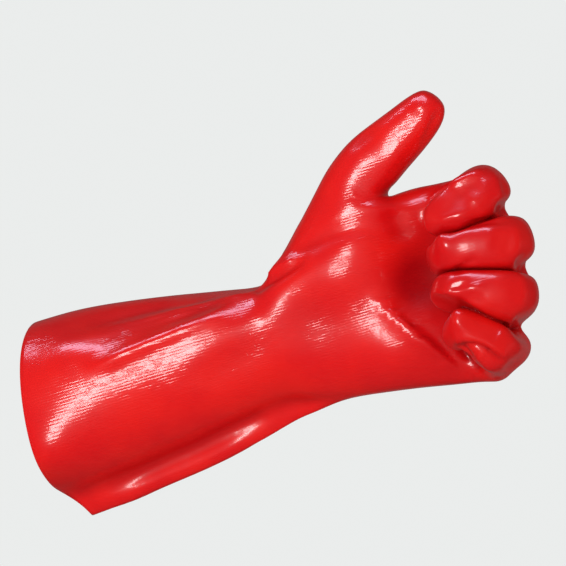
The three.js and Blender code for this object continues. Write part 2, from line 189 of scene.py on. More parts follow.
@dataclass(frozen=True)
class CoatingFinish:
    """The glossy red coating, dipped over a ribbed knit whose ribs show through it.

    Attributes:
        name: the material's name.
        red: the coating's colour where it lies thick.
        deep_red: its colour in the faint darker clouds of it.
        painted_shade_red: its colour for the shade painted into creases and hollows; the fingers are
            drawn partly towards it too.
        rib_pitch: millimetres from rib to rib.
        loop_pitch: millimetres from loop to loop along a rib.
        rib_height: how far the ribs lift the coating, in metres.
        rib_share: how much of that relief the ribs make.
        loop_share: how much of it the loops make.
        faintest: the share of it that is left where the coating lies thickest.
        orange_peel: how far the dipped coating waves, in metres.
        deepening: how far the colour goes towards the darkest red on the fingers, where the ribs show
            faintly.
        roughness: of the gloss where it is clean.
        smear: how much rougher it is where it is smeared.
    """

    name: str = "glossy_red_coating"
    red: tuple[float, float, float, float] = (0.8, 0.008, 0.006, 1.0)
    deep_red: tuple[float, float, float, float] = (0.7, 0.004, 0.006, 1.0)
    painted_shade_red: tuple[float, float, float, float] = (0.4, 0.001, 0.003, 1.0)
    rib_pitch: float = 1.25
    loop_pitch: float = 1.6
    rib_height: float = 0.000045
    rib_share: float = 0.75
    loop_share: float = 1.1
    faintest: float = 0.3
    orange_peel: float = 0.00012
    deepening: float = 0.42
    roughness: float = 0.125
    smear: float = 0.05

    def build(self) -> bpy.types.Material:
        """Builds the material.

        Returns:
            The coating.
        """
        material = bpy.data.materials.new(self.name)
        graph = Graph(material)
        place = graph.node("ShaderNodeTexCoord").outputs["Object"]
        strength = graph.stored("ribbing")
        relief = self.knit_relief(graph, place) * strength
        ribbed = graph.node("ShaderNodeBump", Strength=1.0, Distance=self.rib_height, Height=relief)
        waved = graph.node(
            "ShaderNodeBump",
            Strength=1.0,
            Distance=self.orange_peel,
            Height=graph.noise(place, scale=130.0, detail=2.0),
            Normal=ribbed.outputs[0],
        )
        clouds = graph.noise(place, scale=28.0, detail=4.0, roughness=0.6)
        even = graph.blend(graph.step(clouds, low=0.3, high=0.7), self.deep_red, self.red)
        # Painted shade for the creases and hollows, stored on the mesh, plus a deeper red on the fingers
        # where the ribs fade.
        pool = graph.stored("pool") + (1 - strength) * self.deepening
        smears = graph.step(graph.noise(place, scale=60.0, detail=3.0), low=0.35, high=0.7)
        shader = graph.node(
            "ShaderNodeBsdfPrincipled",
            Base_Color=graph.blend(pool, even, self.painted_shade_red),
            Roughness=smears * self.smear + self.roughness,
            IOR=1.5,
            Specular_IOR_Level=0.42,
            Normal=waved.outputs[0],
            Coat_Weight=0.35,
            Coat_Roughness=0.34,
            Coat_IOR=1.5,
        )
        graph.node("ShaderNodeOutputMaterial", Surface=shader.outputs[0])
        return material

    def knit_relief(self, graph: Graph, place: bpy.types.NodeSocket) -> Value:
        """Works out how the knit lifts the coating.

        Args:
            graph: the material's graph.
            place: the Object coordinates.

        Returns:
            The lift, counted in rib heights.
        """
        knit = graph.node("ShaderNodeUVMap", {"uv_map": "knit"}).outputs[0]
        around = Value(graph, graph.node("ShaderNodeSeparateXYZ", Vector=knit).outputs[0])
        wander = graph.noise(graph.stretched(knit, (0.25, 0.06, 1.0)), scale=1.0)
        rib = graph.math("SINE", (around + wander * 0.5) * (2 * math.pi / self.rib_pitch))
        cells = graph.stretched(knit, (1 / self.rib_pitch, 1 / self.loop_pitch, 1.0))
        loops = graph.noise(cells, scale=1.0, detail=2.0)
        runs = graph.stretched(knit, (0.55, 0.14, 1.0))
        breaks = graph.step(graph.noise(runs, scale=1.0, detail=2.0), low=0.36, high=0.6)
        patches = graph.step(graph.noise(place, scale=45.0, detail=2.0), low=0.3, high=0.62)
        thinness = patches * (1 - self.faintest) + self.faintest
        return (rib * breaks * self.rib_share + loops * self.loop_share) * thinness


@dataclass(frozen=True)
class KnitFinish:
    """The bare knit inside the glove.

    Attributes:
        name: the material's name.
        pale: the colour of the rib tops.
        groove_shade: the colour between the ribs, painted shade in the grooves.
        rib_pitch: millimetres from rib to rib.
        height: how high the ribs stand, in metres.
        rib_share: how much of that relief the ribs make.
        loop_share: how much of it the loops make.
    """

    name: str = "bare_knit_inside"
    pale: tuple[float, float, float, float] = (0.62, 0.40, 0.35, 1.0)
    groove_shade: tuple[float, float, float, float] = (0.34, 0.13, 0.11, 1.0)
    rib_pitch: float = 1.25
    height: float = 0.0002
    rib_share: float = 0.7
    loop_share: float = 0.6

    def build(self) -> bpy.types.Material:
        """Builds the material.

        Returns:
            The knit.
        """
        material = bpy.data.materials.new(self.name)
        graph = Graph(material)
        knit = graph.node("ShaderNodeUVMap", {"uv_map": "knit"}).outputs[0]
        around = Value(graph, graph.node("ShaderNodeSeparateXYZ", Vector=knit).outputs[0])
        rib = graph.math("SINE", around * (2 * math.pi / self.rib_pitch)) * 0.5 + 0.5
        loops = graph.noise(graph.stretched(knit, (0.8, 0.9, 1.0)), scale=1.0, detail=3.0)
        relief = rib * self.rib_share + loops * self.loop_share
        bump = graph.node("ShaderNodeBump", Strength=1.0, Distance=self.height, Height=relief)
        # The knit's colour turns darker where its relief is low: painted shade in the grooves between the
        # ribs.
        shader = graph.node(
            "ShaderNodeBsdfPrincipled",
            Base_Color=graph.blend(graph.step(relief, low=0.2, high=1.0), self.groove_shade, self.pale),
            Roughness=0.9,
            Normal=bump.outputs[0],
            Sheen_Weight=0.2,
        )
        graph.node("ShaderNodeOutputMaterial", Surface=shader.outputs[0])
        return material


@dataclass(frozen=True)
class PhotoView:
    """Where the photograph was taken from, as an ideal camera.

    Attributes:
        target: the point of the part at the middle of the picture, in millimetres.
        azimuth: how far the camera stands round to +X, in degrees.
        distance: from the target, in millimetres.
        scale: picture pixels for a millimetre at the target.
        width: the picture's width in pixels.
    """

    target: tuple[float, float, float] = (118.1, -23.4, 62.0)
    azimuth: float = 16.0
    distance: float = 1300.0
    scale: float = 2.17
    width: float = 566.0

    @property
    def axes(self) -> np.ndarray:
        """The camera's three directions.

        Returns:
            The picture's right, the way into it and its up, as rows.
        """
        turn = math.radians(self.azimuth)
        right, ahead = (math.cos(turn), math.sin(turn), 0), (-math.sin(turn), math.cos(turn), 0)
        return np.array((right, ahead, (0, 0, 1)))

    @property
    def position(self) -> np.ndarray:
        """Returns the camera's place, in millimetres."""
        return np.array(self.target) - self.axes[1] * self.distance

    def project(self, points: np.ndarray) -> np.ndarray:
        """Projects points into the picture.

        Args:
            points: places in millimetres, a row each.

        Returns:
            Their pixels, a row each, from the top left corner.
        """
        right, ahead, up = ((points - np.array(self.target)) @ self.axes.T).T
        zoom = self.scale * self.distance / (self.distance + ahead)
        return np.stack((self.width / 2 + zoom * right, self.width / 2 - zoom * up), axis=1)


class Profile(Enum):
    """The shape of a fold across its line."""

    ROUND = "a soft ridge, or a soft valley where its height is negative"
    LAPPED = "a lip: high on the line's left, dropping at once to its right"


@dataclass(frozen=True)
class Fold:
    """One fold of the worn glove, on the side that the photograph shows.

    The constants give the samples on each stretch of the line, how many half widths away the fold still
    lifts the skin, and how sharply a lip drops.

    Attributes:
        name: what it is.
        path: its line in the photograph, as columns and rows.
        height: how far it stands out, or in where negative, in millimetres.
        half_width: in millimetres.
        profile: its shape across the line.
        taper: the share of its length over which each end fades.
    """

    SAMPLES: ClassVar[int] = 24
    REACH: ClassVar[float] = 3.2
    LIP_DROP: ClassVar[float] = 5.0

    name: str
    path: tuple[tuple[float, float], ...]
    height: float
    half_width: float
    profile: Profile = Profile.ROUND
    taper: float = 0.3

    def line(self) -> tuple[np.ndarray, np.ndarray]:
        """Samples the fold's line.

        Returns:
            The samples' pixels and the line's directions there, a row each.
        """
        knots = np.array(self.path)
        padded = np.vstack((2 * knots[0] - knots[1], knots, 2 * knots[-1] - knots[-2]))
        samples = []
        for start in range(len(knots) - 1):
            before, first, second, after = padded[start : start + 4]
            for t in np.linspace(0, 1, self.SAMPLES, endpoint=False):
                bend = (2 * before - 5 * first + 4 * second - after) * t * t
                curl = (3 * first - before - 3 * second + after) * t**3
                samples.append(0.5 * (2 * first + (second - before) * t + bend + curl))
        samples = np.array(samples + [knots[-1]])
        ways = np.gradient(samples, axis=0)
        return samples, ways / np.linalg.norm(ways, axis=1, keepdims=True)

    def lift(self, pixels: np.ndarray, scale: float) -> np.ndarray:
        """Works out how far the fold lifts each point.

        Args:
            pixels: the points in the picture, a row each.
            scale: pixels for a millimetre.

        Returns:
            The lift of each point, in millimetres.
        """
        lift = np.zeros(len(pixels))
        samples, ways = self.line()
        reach = self.half_width * self.REACH * scale
        near = np.all((pixels > samples.min(0) - reach) & (pixels < samples.max(0) + reach), axis=1)
        if not near.any():
            return lift
        offsets = pixels[near, None, :] - samples[None, :, :]
        nearest = np.argmin((offsets**2).sum(2), axis=1)
        offset = offsets[np.arange(len(nearest)), nearest]
        way = ways[nearest]
        side = np.sign(way[:, 0] * offset[:, 1] - way[:, 1] * offset[:, 0])
        across = side * np.linalg.norm(offset, axis=1) / (self.half_width * scale)
        along = nearest / (len(samples) - 1)
        fade = np.clip(np.minimum(along, 1 - along) / self.taper, 0, 1)
        fade = fade * fade * (3 - 2 * fade)
        lift[near] = self.height * self.shape(across) * fade
        return lift

    def shape(self, across: np.ndarray) -> np.ndarray:
        """Works out the profile across the line.

        Args:
            across: offsets from the line, counted in half widths, positive to its right.

        Returns:
            The height at each, as a share of the fold's height.
        """
        if self.profile is Profile.LAPPED:
            blend = 0.5 * (1 + np.tanh(across * self.LIP_DROP))
            return (1 - blend) * np.exp(-(across**2) / 3) - blend * np.exp(-(across**2))
        return np.exp(-(across**2))


@dataclass(frozen=True)
class Pull:
    """A soft pull on the form, as by a thumb and finger.

    Attributes:
        name: what it shapes.
        pixel: its middle in the photograph, on the skin that shows there.
        reach: half width of the pull, in millimetres.
        by: the pull to the picture's right, away from the camera and up, in millimetres.
        pool: how much shade is painted into the coating's colour there, 0 to 1.
        through: whether it takes in all that lies behind that pixel too.
    """

    name: str
    pixel: tuple[float, float]
    reach: float
    by: tuple[float, float, float]
    pool: float = 0.0
    through: bool = False


FOLDS = (
    Fold(
        "ridge along the sleeve",
        ((80, 373), (105, 363), (134, 350), (173, 334), (213, 317), (250, 296)),
        height=2.8,
        half_width=3.4,
    ),
    Fold(
        "hollow above that ridge",
        ((60, 352), (110, 332), (160, 316), (205, 302), (240, 290)),
        height=-2.6,
        half_width=5.5,
    ),
    Fold(
        "second ridge of the hollow",
        ((150, 318), (185, 306), (225, 293), (250, 288)),
        height=0.8,
        half_width=2.4,
    ),
    Fold(
        "long dent below the sleeve's middle",
        ((170, 398), (215, 374), (250, 352), (292, 326)),
        height=-2.8,
        half_width=10.5,
        taper=0.45,
    ),
    Fold(
        "lip of the wrist",
        ((250, 290), (262, 282), (276, 274), (290, 266), (298, 258)),
        height=2.4,
        half_width=3.2,
        profile=Profile.LAPPED,
        taper=0.12,
    ),
    Fold(
        "valley above the lower fold",
        ((73, 494), (131, 472), (190, 448), (227, 430), (270, 410)),
        height=-1.2,
        half_width=2.6,
        taper=0.08,
    ),
    Fold(
        "roll of the lower fold",
        ((86, 508), (125, 495), (162, 479), (205, 461), (245, 441), (285, 421)),
        height=2.8,
        half_width=4.0,
    ),
    Fold(
        "crease across the palm",
        ((472, 380), (440, 350), (417, 332), (405, 321), (388, 302), (372, 284)),
        height=3.0,
        half_width=3.4,
        profile=Profile.LAPPED,
    ),
    Fold(
        "second crease of the palm",
        ((410, 343), (424, 352), (436, 359), (450, 366)),
        height=-1.0,
        half_width=1.8,
    ),
    Fold(
        "valley under the little finger",
        ((458, 344), (470, 360), (484, 374)),
        height=-2.2,
        half_width=2.2,
    ),
    Fold(
        "gathers under the little finger",
        ((466, 356), (474, 370), (484, 380)),
        height=0.7,
        half_width=1.7,
    ),
    Fold("valley under the thumb", ((388, 206), (397, 225), (406, 246)), height=-2.2, half_width=4.5),
    Fold(
        "ridge along the palm's crease",
        ((376, 281), (391, 298), (406, 317), (425, 336), (450, 358)),
        height=2.1,
        half_width=2.5,
    ),
    Fold(
        "pad of the thumb",
        ((440, 108), (436, 118), (428, 136), (418, 152)),
        height=-1.2,
        half_width=2.2,
    ),
    Fold("side of the thumb", ((348, 150), (362, 138), (380, 127)), height=-0.8, half_width=2.4),
    Fold(
        "flat front of the thumb",
        ((352, 208), (376, 165), (400, 130), (422, 106)),
        height=-1.35,
        half_width=7.0,
        taper=0.15,
    ),
    Fold(
        "crest of the forefinger",
        ((425, 226), (428, 208), (438, 194), (450, 185), (466, 177), (488, 168)),
        height=1.3,
        half_width=1.6,
        taper=0.12,
    ),
    Fold(
        "flat face of the forefinger",
        ((434, 226), (448, 206), (466, 191), (488, 180)),
        height=-1.2,
        half_width=4.5,
        taper=0.2,
    ),
    Fold(
        "lower edge of the forefinger",
        ((436, 224), (447, 218), (462, 215), (480, 206)),
        height=0.7,
        half_width=2.2,
    ),
    Fold(
        "corner of the forefinger's knuckle",
        ((488, 168), (497, 185), (503, 206)),
        height=0.9,
        half_width=2.0,
    ),
    Fold("end of the forefinger's knuckle", ((503, 178), (508, 196)), height=-0.8, half_width=3.2),
    Fold(
        "upper facet of the middle finger",
        ((460, 226), (480, 222), (500, 221), (520, 221)),
        height=-1.0,
        half_width=1.7,
    ),
    Fold(
        "crease under the middle fingertip",
        ((452, 273), (464, 265), (480, 257)),
        height=-1.1,
        half_width=1.5,
    ),
    Fold(
        "flat side of the middle finger",
        ((490, 238), (503, 242), (515, 246)),
        height=-0.9,
        half_width=6.0,
    ),
    Fold(
        "corner of the middle knuckle",
        ((512, 220), (518, 240), (515, 262)),
        height=0.8,
        half_width=2.2,
    ),
    Fold(
        "ridge of the ring fingertip",
        ((446, 297), (458, 292), (472, 288), (490, 287)),
        height=0.9,
        half_width=2.0,
    ),
    Fold("dent above that ridge", ((444, 287), (456, 287), (470, 283)), height=-0.7, half_width=1.9),
    Fold("dent of the ring finger", ((455, 303), (472, 300), (488, 303)), height=-0.9, half_width=3.0),
    Fold("corner of the ring knuckle", ((518, 268), (524, 290), (518, 316)), height=0.8, half_width=2.4),
    Fold(
        "ridge of the little fingertip",
        ((446, 318), (456, 322), (462, 328), (470, 336)),
        height=0.6,
        half_width=1.6,
    ),
    Fold(
        "lip below the little fingertip",
        ((452, 346), (466, 342), (480, 343), (494, 351), (508, 362)),
        height=1.8,
        half_width=2.6,
        profile=Profile.LAPPED,
        taper=0.15,
    ),
    Fold("roll below that lip", ((470, 354), (484, 364), (500, 371)), height=0.9, half_width=2.6),
)

PULLS = (
    Pull("tip of the forefinger", (430, 228), reach=6.0, by=(-2.4, 0.0, -1.8)),
    Pull("top of the forefinger", (456, 186), reach=8.0, by=(0.0, 1.8, 0.0)),
    Pull("corner of the middle fingertip", (437, 242), reach=5.0, by=(-1.5, -1.0, 2.2)),
    Pull("notch over the middle knuckle", (511, 210), reach=4.5, by=(-4.0, 0.0, 0.0), through=True),
    Pull("notch under the middle knuckle", (529, 268), reach=4.5, by=(-4.5, 0.0, 0.0), through=True),
    Pull("notch under the ring knuckle", (529, 329), reach=6.0, by=(-6.5, 0.0, 0.0), through=True),
    Pull("corner under the little finger", (521, 374), reach=7.0, by=(-3.0, 0.0, 1.5), through=True),
    Pull("belly of the forefinger", (459, 223), reach=5.5, by=(0.0, -1.2, 0.0)),
    Pull("blunt end of the forefinger", (436, 221), reach=5.0, by=(0.0, -2.2, 0.0)),
    Pull("blunt end of the middle finger", (440, 250), reach=5.5, by=(0.0, -2.2, 0.0)),
    Pull("blunt end of the ring finger", (444, 291), reach=5.5, by=(0.0, -2.2, 0.0)),
    Pull("underside of the ring fingertip", (456, 300), reach=5.0, by=(0.0, 1.5, 1.5)),
    Pull("blunt end of the little finger", (452, 328), reach=6.0, by=(0.0, -2.6, 0.0)),
    Pull("top of the little fingertip", (456, 317), reach=6.5, by=(-1.0, -3.5, 4.5)),
    Pull("upper side of the thumb", (362, 142), reach=9.0, by=(0.0, 1.0, 0.0)),
    Pull("lower side of the thumb", (390, 166), reach=9.0, by=(0.0, -1.8, 0.0)),
    Pull("web side of the thumb", (378, 197), reach=12.0, by=(0.0, -3.6, 0.0)),
    Pull("root of the thumb", (346, 233), reach=11.0, by=(0.0, -2.6, 0.0)),
    Pull("ball of the thumb", (374, 268), reach=18.0, by=(0.0, -3.2, 0.0)),
    Pull("middle of the thumb's ball", (334, 285), reach=11.0, by=(0.0, -1.7, 0.0)),
    Pull("heel of the palm", (316, 310), reach=19.0, by=(0.0, 3.0, 0.0)),
    Pull("lower edge of the palm", (318, 384), reach=31.0, by=(0.0, 8.5, 0.0)),
    Pull("ball of the little finger", (397, 362), reach=12.0, by=(0.0, -1.8, 0.0)),
    # This pull also paints shade into the coating's colour over the deep hollow of the palm.
    Pull("hollow of the palm", (414, 278), reach=14.0, by=(0.0, 3.0, 0.0), pool=1.0),
    Pull("top of the sleeve at the rim", (62, 332), reach=16.0, by=(0.0, -2.0, 0.0)),
    Pull("top of the sleeve's middle", (185, 297), reach=10.0, by=(0.0, -4.5, 0.0)),
    Pull("top of the sleeve at the wrist", (238, 288), reach=9.0, by=(0.0, -5.5, 0.0)),
    Pull("sleeve below the rim's middle", (60, 455), reach=25.0, by=(0.0, -6.0, 0.0)),
    Pull("lower corner of the rim", (46, 464), reach=16.0, by=(0.0, -5.0, 0.0)),
    Pull("end of the lower fold", (98, 497), reach=15.0, by=(0.0, -3.6, 0.0)),
)


@dataclass
class GloveSkin:
    """The whole glove as one mesh, inside and outside.

    Attributes:
        view: the photograph's camera, in whose picture the folds are laid.
        rib_lean: how far the ribs tip up from +X, in degrees.
        wrist: where along the ribs the round sleeve ends and the flat hand begins, in millimetres.
        weld: how near two points of the CAD shell are joined, in millimetres.
        levels: of smoothing.
        edge_turn: the least angle at the cuff's edge between the skin and the rim, in degrees.
        rim_hold: how firmly the smoothing keeps the rim's edges.
        flat_limit: the angle up to which two triangles are joined, in radians.
        turned_away: the cosine to the camera under which a fold fades, as the skin turns away.
        pick_radius: how far from a pixel the skin that shows there is looked for, in pixels.
        dip_spread: how many points wide the shade painted into each crease is.
        dip_gain: how fast that painted shade deepens with the crease.
        sleeve_middle: the sleeve's middle over the line of the ribs, in millimetres.
        sleeve_radius: at the cuff, in millimetres.
        sleeve_narrowing: how fast that radius shrinks along the sleeve.
        sleeve_length: how far it goes on shrinking, in millimetres.
        finger_roots: where along X the ribs begin to fade, and over how far, in millimetres.
        finger_tops: the height under which they fade, and over how far, in millimetres.
        finger_fade: how far they fade there.
        seam: the jump across the ribs by which a face spans the map's seam, in millimetres.
    """

    view: PhotoView = field(default_factory=PhotoView)
    rib_lean: float = 16.5
    wrist: tuple[float, float] = (95.0, 140.0)
    weld: float = 0.01
    levels: int = 2
    edge_turn: float = 60.0
    rim_hold: float = 0.75
    flat_limit: float = 3.1
    turned_away: float = 0.35
    pick_radius: float = 5.0
    dip_spread: int = 6
    dip_gain: float = 7.0
    sleeve_middle: float = 3.0
    sleeve_radius: float = 42.0
    sleeve_narrowing: float = 0.12
    sleeve_length: float = 115.0
    finger_roots: tuple[float, float] = (168.0, 22.0)
    finger_tops: tuple[float, float] = (122.0, 10.0)
    finger_fade: float = 0.55
    seam: float = 60.0

    def build(self) -> bpy.types.Object:
        """Builds and dresses the glove.

        Returns:
            The glove's object.
        """
        mesh = self.smooth(self.cage())
        self.sculpt(mesh)
        self.knit_coordinates(mesh)
        mesh.shade_smooth()
        mesh.materials.append(CoatingFinish().build())
        mesh.materials.append(KnitFinish().build())
        glove = bpy.data.objects.new("gauntlet_glove", mesh)
        bpy.context.scene.collection.objects.link(glove)
        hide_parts(SHELL_NODE)
        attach(glove, "root")
        return glove

    def cage(self) -> bpy.types.Mesh:
        """Copies the CAD shell as a mesh of four-sided faces, with the inside marked.

        Returns:
            The cage, in which faces of material 1 are the inside.
        """
        cage = bmesh.new()
        cage.from_mesh(bpy.data.objects[SHELL_NODE].data)
        bmesh.ops.remove_doubles(cage, verts=cage.verts, dist=self.weld * MM)
        bmesh.ops.join_triangles(
            cage,
            faces=cage.faces[:],
            angle_face_threshold=self.flat_limit,
            angle_shape_threshold=self.flat_limit,
        )
        for face in cage.faces:
            face.material_index = 1
        start = max(cage.faces, key=lambda face: face.calc_center_median().x)
        outside = self.spread(start)
        rim = {edge for face in outside for edge in face.edges if not set(edge.link_faces) <= outside}
        strip = {face for edge in rim for face in edge.link_faces} - outside
        hold = cage.edges.layers.float.new("crease_edge")
        for face in strip | outside:
            face.material_index = 0
        for edge in {edge for face in strip for edge in face.edges}:
            if len(set(edge.link_faces) & strip) == 1:
                edge[hold] = self.rim_hold
        mesh = bpy.data.meshes.new("cage")
        cage.to_mesh(mesh)
        cage.free()
        return mesh

    def spread(self, start: bmesh.types.BMFace) -> set[bmesh.types.BMFace]:
        """Collects the faces that a skin reaches without turning round the rim.

        Args:
            start: a face of the skin.

        Returns:
            The skin's faces.
        """
        limit = math.radians(self.edge_turn)
        found, waiting = {start}, [start]
        while waiting:
            for edge in waiting.pop().edges:
                if edge.calc_face_angle(0.0) < limit:
                    fresh = set(edge.link_faces) - found
                    found |= fresh
                    waiting.extend(fresh)
        return found

    def smooth(self, cage: bpy.types.Mesh) -> bpy.types.Mesh:
        """Smooths the cage.

        Args:
            cage: the mesh of four-sided faces.

        Returns:
            The smoothed mesh.
        """
        holder = bpy.data.objects.new("smoothing", cage)
        bpy.context.scene.collection.objects.link(holder)
        modifier = holder.modifiers.new("smooth", "SUBSURF")
        modifier.levels = modifier.render_levels = self.levels
        shown = holder.evaluated_get(bpy.context.evaluated_depsgraph_get())
        mesh = bpy.data.meshes.new_from_object(shown)
        mesh.name = "gauntlet_glove"
        bpy.data.objects.remove(holder)
        return mesh

    def sculpt(self, mesh: bpy.types.Mesh) -> None:
        """Presses the folds into the skin, with the inner side following the outer.

        Args:
            mesh: the smoothed glove.
        """
        points = read_points(mesh)
        inside = self.inside_points(mesh)
        pool = np.zeros(len(points))
        for pull in PULLS:
            offsets = (points - self.shown_point(points, pull.pixel)) @ self.view.axes.T
            if pull.through:
                offsets[:, 1] = 0
            weight = np.exp(-((np.linalg.norm(offsets, axis=1) / pull.reach) ** 2))
            points += weight[:, None] * (np.array(pull.by) @ self.view.axes)
            # Each pull that asks for it adds painted shade to the coating's colour here.
            pool += weight * pull.pool
        write_points(mesh, points)
        normals = read_normals(mesh)
        towards = self.view.position - points
        towards /= np.linalg.norm(towards, axis=1, keepdims=True)
        facing = np.clip((normals * towards).sum(1) / self.turned_away, 0, 1)
        pixels = self.view.project(points)
        lift = sum(fold.lift(pixels, self.view.scale) for fold in FOLDS)
        moves = normals * (lift * facing)[:, None]
        moves[inside] = 0
        moved = points + moves
        moved[inside] += self.follow(points, moves, inside)
        write_points(mesh, moved)
        # Stores the painted shade: a darker coating colour in the palm's hollow and in the creases, where
        # shade falls.
        write_layer(mesh, "pool", np.clip(pool + self.dips(mesh), 0, 1))

    def dips(self, mesh: bpy.types.Mesh) -> np.ndarray:
        """Measures how hollow the skin is at each point, for the shade painted into creases.

        Args:
            mesh: the sculpted glove.

        Returns:
            A share for each point, above 1 in sharp creases and below 0 on ridges.
        """
        points, normals = read_points(mesh), read_normals(mesh)
        ends = np.zeros(len(mesh.edges) * 2, dtype=int)
        mesh.edges.foreach_get("vertices", ends)
        first, second = ends.reshape(-1, 2).T
        way = points[second] - points[first]
        way /= np.linalg.norm(way, axis=1, keepdims=True)
        count = np.bincount(ends, minlength=len(points))
        dip = np.bincount(first, (way * normals[first]).sum(1), len(points))
        dip -= np.bincount(second, (way * normals[second]).sum(1), len(points))
        dip /= count
        for _ in range(self.dip_spread):
            around = np.bincount(first, dip[second], len(points))
            around += np.bincount(second, dip[first], len(points))
            dip = 0.5 * (dip + around / count)
        return dip * self.dip_gain

    def shown_point(self, points: np.ndarray, pixel: tuple[float, float]) -> np.ndarray:
        """Finds the point that shows at a pixel.

        Args:
            points: the glove's points, in millimetres.
            pixel: the picture's column and row.

        Returns:
            The point nearest to the camera within pick_radius.
        """
        aside = np.linalg.norm(self.view.project(points) - np.array(pixel), axis=1)
        near = points[aside < self.pick_radius]
        return near[np.argmin(near @ self.view.axes[1])]

    def inside_points(self, mesh: bpy.types.Mesh) -> np.ndarray:
        """Marks the points that only inner faces use.

        Args:
            mesh: the glove, whose inner faces have material 1.

        Returns:
            True for each such point.
        """
        inside = np.ones(len(mesh.vertices), dtype=bool)
        for face in mesh.polygons:
            if face.material_index == 0:
                inside[list(face.vertices)] = False
        return inside

    def follow(self, points: np.ndarray, moves: np.ndarray, inside: np.ndarray) -> np.ndarray:
        """Carries the moves of the outer side to the inner side.

        Args:
            points: every point before the moves, in millimetres.
            moves: the moves, zero inside.
            inside: which points are inside.

        Returns:
            The moves of the inner points, each that of the nearest outer point.
        """
        outer = np.flatnonzero(~inside)
        tree = KDTree(len(outer))
        for index in outer:
            tree.insert(points[index], int(index))
        tree.balance()
        return np.array([moves[tree.find(point)[1]] for point in points[inside]])

    def knit_coordinates(self, mesh: bpy.types.Mesh) -> None:
        """Lays the knit over the glove: a map across and along the ribs, and how strongly they show.

        Args:
            mesh: the glove.
        """
        points = read_points(mesh)
        lean = math.radians(self.rib_lean)
        along = points[:, 0] * math.cos(lean) + points[:, 2] * math.sin(lean)
        level = points[:, 2] * math.cos(lean) - points[:, 0] * math.sin(lean)
        depth = points[:, 1]
        share = np.clip((along - self.wrist[0]) / (self.wrist[1] - self.wrist[0]), 0, 1)
        share = share * share * (3 - 2 * share)
        radius = self.sleeve_radius - self.sleeve_narrowing * np.clip(along, 0, self.sleeve_length)
        angle = np.arctan2(level - self.sleeve_middle, -depth)
        around = self.sleeve_middle + angle * radius
        across = around * (1 - share) + level * share
        roots, tops = self.finger_roots, self.finger_tops
        fingers = np.clip((points[:, 0] - roots[0]) / roots[1], 0, 1)
        fingers *= np.clip((tops[0] - points[:, 2]) / tops[1], 0, 1)
        write_layer(mesh, "ribbing", 1 - self.finger_fade * fingers)
        corners = np.zeros(len(mesh.loops), dtype=int)
        mesh.loops.foreach_get("vertex_index", corners)
        knit = np.stack((across[corners], along[corners]), axis=1)
        for face in mesh.polygons:
            loops = slice(face.loop_start, face.loop_start + face.loop_total)
            low, high = knit[loops, 0].min(), knit[loops, 0].max()
            if high - low > self.seam:
                turn = 2 * math.pi * radius[corners[loops]] * (1 - share[corners[loops]])
                knit[loops, 0] += np.where(knit[loops, 0] < (low + high) / 2, turn, 0)
        mesh.uv_layers.new(name="knit").data.foreach_set("uv", knit.ravel())


def read_points(mesh: bpy.types.Mesh) -> np.ndarray:
    """Reads a mesh's points.

    Args:
        mesh: the mesh, in metres.

    Returns:
        The points in millimetres, a row each.
    """
    points = np.zeros(len(mesh.vertices) * 3)
    mesh.vertices.foreach_get("co", points)
    return points.reshape(-1, 3) / MM


def read_normals(mesh: bpy.types.Mesh) -> np.ndarray:
    """Reads a mesh's normals.

    Args:
        mesh: the mesh.

    Returns:
        The normals, a row for each point.
    """
    normals = np.zeros(len(mesh.vertices) * 3)
    mesh.vertices.foreach_get("normal", normals)
    return normals.reshape(-1, 3)


def write_layer(mesh: bpy.types.Mesh, name: str, values: np.ndarray) -> None:
    """Stores a value for each point under a name."""
    mesh.attributes.new(name, "FLOAT", "POINT").data.foreach_set("value", values)


def write_points(mesh: bpy.types.Mesh, points: np.ndarray) -> None:
    """Sets a mesh's points, given in millimetres."""
    mesh.vertices.foreach_set("co", (points * MM).ravel())
    mesh.update()


class Role(Enum):
    """What a softbox does."""

    BOTH = "lights the glove and shows in its highlights"
    FILL = "lights the glove without a highlight"
    GLEAM = "shows in the highlights alone"


@dataclass(frozen=True)
class Softbox:
    """A rectangular studio light.

    Attributes:
        name: the light's name.
        azimuth: degrees round from the camera's side of the part, positive to the right.
        elevation: degrees above the horizon.
        distance: metres from the glove.
        size: width and height in metres.
        watts: its power.
        role: what it does.
        colour: its tint.
    """

    name: str
    azimuth: float
    elevation: float
    distance: float
    size: tuple[float, float]
    watts: float
    role: Role = Role.BOTH
    colour: tuple[float, float, float] = (1.0, 1.0, 1.0)


SOFTBOXES = (
    Softbox(
        "key_softbox",
        azimuth=-18.0,
        elevation=7.0,
        distance=1.7,
        size=(0.5, 0.5),
        watts=13.0,
    ),
    Softbox(
        "front_fill",
        azimuth=-6.0,
        elevation=-4.0,
        distance=1.8,
        size=(2.0, 2.0),
        watts=14.0,
        role=Role.FILL,
    ),
    Softbox(
        "left_fill",
        azimuth=-85.0,
        elevation=0.0,
        distance=1.8,
        size=(1.2, 1.2),
        watts=5.0,
        role=Role.FILL,
    ),
    Softbox(
        "right_fill",
        azimuth=88.0,
        elevation=-8.0,
        distance=1.8,
        size=(1.2, 1.2),
        watts=8.0,
        role=Role.FILL,
    ),
    Softbox(
        "overhead_strip",
        azimuth=-42.0,
        elevation=68.0,
        distance=1.3,
        size=(1.5, 0.36),
        watts=15.0,
        role=Role.GLEAM,
        colour=(0.6, 0.74, 1.0),
    ),
    Softbox(
        "back_fill",
        azimuth=168.0,
        elevation=22.0,
        distance=1.9,
        size=(2.0, 2.0),
        watts=11.0,
        role=Role.FILL,
    ),
    Softbox(
        "backdrop_glow",
        azimuth=180.0,
        elevation=6.0,
        distance=1.6,
        size=(3.0, 2.4),
        watts=1.5,
        role=Role.GLEAM,
    ),
)


